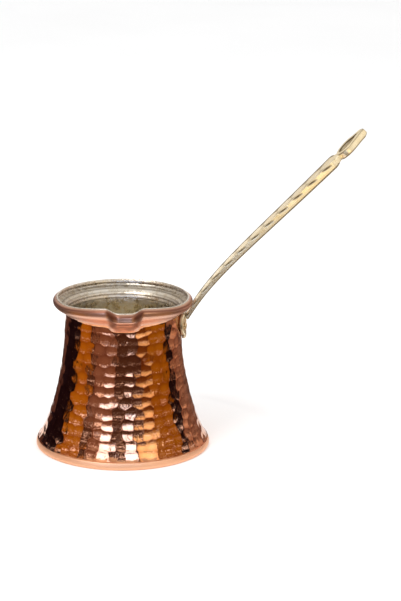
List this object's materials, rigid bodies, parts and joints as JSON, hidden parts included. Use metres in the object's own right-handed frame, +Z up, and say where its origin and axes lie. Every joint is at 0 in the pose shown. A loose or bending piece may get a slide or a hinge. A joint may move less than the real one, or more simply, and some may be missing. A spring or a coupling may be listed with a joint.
{
  "type": "turkish coffee pot",
  "caption": "Waisted hammered-copper cezve, tinned inside, with a pressed pouring spout and a long cast brass handle riveted to its neck, ending in a hanging eye.",
  "frame": {"origin": "on the pot's axis, on the plane that the base stands on", "axes": "+Z up along the pot's axis, +X towards the handle, the pouring spout faces -Y"},
  "size_m": [0.1686, 0.09, 0.1672],
  "materials": {
    "copper": "polished hammered copper, satin turned collar and base band",
    "tin": "wiped tin coat, warm grey, faint turning rings",
    "cast_brass": "cast and polished yellow brass",
    "rivet_brass": "hammered and polished brass"
  },
  "bodies": {
    "root": {"pot_body": "copper", "tin_lining": "tin", "handle": "cast_brass", "rivet_1": "rivet_brass", "rivet_2": "rivet_brass"}
  },
  "joints": []
}
